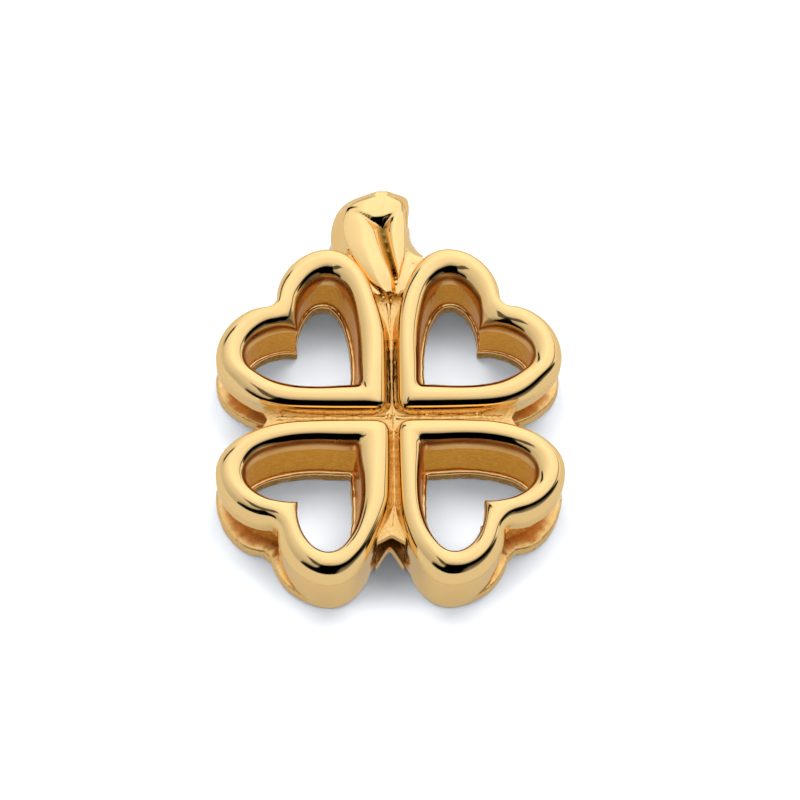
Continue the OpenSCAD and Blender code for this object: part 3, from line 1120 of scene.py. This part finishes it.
size, low = studio["floor"] * mm, -studio["floorDrop"] * mm
corners = [(-size, -size, low), (size, -size, low), (size, size, low), (-size, size, low)]
floor = meshObject("floor", corners, [[0, 1, 2, 3]], [paleMaterial()])


def wayTo(azimuth, elevation):
    turn, rise = radians(azimuth), radians(elevation)
    return Vector((sin(turn) * cos(rise), -cos(turn) * cos(rise), sin(rise)))


def softLamp(name, azimuth, elevation, radius, glow):
    # a large round lamp that only the floor receives; glow is the brightness that it gives the floor
    distance = studio["lampDistance"] * mm
    away = wayTo(azimuth, elevation)
    data = bpy.data.lights.new(name, "AREA")
    data.shape = "DISK"
    data.size = 2 * distance * tan(radians(radius))
    data.energy = glow * pi ** 2 * distance ** 2 / (away.z * studio["floorTone"][1])
    lamp = addObject(name, data)
    lamp.location = away * distance
    lamp.rotation_euler = away.to_track_quat("Z", "Y").to_euler()
    lamp.visible_glossy = False


for row in lamps:
    softLamp(*row)


def ringValue(tree, turn, rows, column, most):
    # a value that changes round the ring: straight lines between the rows
    node = place(tree, "ShaderNodeFloatCurve", {"Value": turn})
    curve = node.mapping.curves[0]
    spots = [((row[0] + 180) / 360, row[column] / most) for row in rows]
    if rows[0][0] > -180:
        spots = [(0, 0)] + spots + [(1, 0)]
    while len(curve.points) < len(spots):
        curve.points.new(0.5, 0.5)
    for point, spot in zip(curve.points, spots):
        point.location = spot
        point.handle_type = "VECTOR"
    node.mapping.update()
    return times(tree, node.outputs[0], float(most))


def softEdge(tree, value, low, high):
    return build(tree, "ShaderNodeMapRange", {"Value": value, "From Min": low, "From Max": high},
                 interpolation_type="SMOOTHSTEP")


def darkShape(tree, turn, rise, rows, soft):
    # 1 inside the shape, how far the direction lies above its upper edge, and 1 where it is open
    bottom, top = ringValue(tree, turn, rows, 1, 90), ringValue(tree, turn, rows, 2, 90)
    under = softEdge(tree, minus(tree, top, rise), -soft, soft / 2)
    over = softEdge(tree, minus(tree, rise, bottom), -1.0, 1.0)
    wide = softEdge(tree, minus(tree, top, bottom), 0.5, 5.0)
    inside = times(tree, times(tree, under, over), wide)
    return inside, minus(tree, rise, top), wide


def blend(tree, share, first, second):
    return build(tree, "ShaderNodeMix", {0: share, 2: first, 3: second})


def tentWorld():
    world = bpy.data.worlds.new("lightTent")
    world.use_nodes = True
    tree = world.node_tree
    tree.nodes.clear()
    way = place(tree, "ShaderNodeTexCoord").outputs["Generated"]
    x, y, z = place(tree, "ShaderNodeSeparateXYZ", {0: way}).outputs
    side = maths(tree, "DEGREES", maths(tree, "ARCTAN2", x, times(tree, y, -1.0)))
    turn = maths(tree, "MULTIPLY_ADD", side, 1 / 360, 0.5)
    rise = maths(tree, "DEGREES", maths(tree, "ARCSINE", z))
    low, middle = ringValue(tree, turn, lightRing, 1, 2), ringValue(tree, turn, lightRing, 2, 2)
    light = blend(tree, softEdge(tree, rise, *tent["middle"]), low, middle)
    light = blend(tree, softEdge(tree, rise, *tent["overhead"]), light, tent["zenith"])
    # the dark opening with the half light above and below it, its prong, and the seam
    dark, above, wide = darkShape(tree, turn, rise, darkOpening, tent["openingSoft"])
    half = minus(tree, 1.0, softEdge(tree, above, 0.0, nearDark["width"]))
    half = times(tree, times(tree, half, wide), nearDark["share"])
    bottom = minus(tree, ringValue(tree, turn, darkOpening, 1, 90), rise)
    under = minus(tree, 1.0, softEdge(tree, bottom, 0.0, nearDark["underWidth"]))
    under = times(tree, under, softEdge(tree, bottom, -2.0, 0.0))
    under = times(tree, times(tree, under, wide), nearDark["under"])
    prong = darkShape(tree, turn, rise, darkProng, tent["prongSoft"])[0]
    prong = times(tree, prong, tent["prongDark"])
    seamHeight, seamDark = ringValue(tree, turn, darkSeam, 1, 90), ringValue(tree, turn, darkSeam, 2, 1)
    seam = softEdge(tree, maths(tree, "ABSOLUTE", minus(tree, rise, seamHeight)), *tent["seam"])
    seam = times(tree, seam, seamDark)
    for shade in (half, under, dark, prong, seam):
        light = times(tree, light, minus(tree, 1.0, shade))
    seen = place(tree, "ShaderNodeLightPath").outputs["Is Camera Ray"]
    light = maths(tree, "MAXIMUM", light, times(tree, seen, tent["background"]))
    glow = build(tree, "ShaderNodeBackground", {"Color": (1, 1, 1, 1), "Strength": light})
    place(tree, "ShaderNodeOutputWorld", {"Surface": glow})
    world.cycles_visibility.diffuse = False
    scene.world = world


tentWorld()


def setCamera():
    away = wayTo(studio["cameraAzimuth"], studio["cameraElevation"])
    distance = studio["cameraDistance"] * mm
    focus = Vector((0, 0, studio["cameraFocus"] * mm))
    spot = focus + away * distance
    roll = radians(studio["cameraRoll"])
    level = (-away).cross(Vector((0, 0, 1))).normalized()
    upright = level.cross(-away)
    right = cos(roll) * level + sin(roll) * upright
    up = cos(roll) * upright - sin(roll) * level
    # the clover's middle lies left of and below the middle of the picture
    step = distance / studio["focalPixels"]
    aim = focus + right * studio["left"] * step + up * studio["down"] * step
    behind = (spot - aim).normalized()
    right = up.cross(behind).normalized()
    up = behind.cross(right)
    data = bpy.data.cameras.new("camera")
    data.sensor_width = studio["sensor"]
    data.lens = studio["focalPixels"] * studio["sensor"] / studio["pixels"]
    data.clip_start = 0.01
    camera = addObject("camera", data)
    matrix = [[right[i], up[i], behind[i], spot[i]] for i in range(3)] + [[0, 0, 0, 1]]
    camera.matrix_world = Matrix(matrix)
    scene.camera = camera


setCamera()
scene.view_settings.view_transform = "Standard"
scene.cycles.diffuse_bounces = 0
scene.cycles.glossy_bounces = 3
print("studio set")
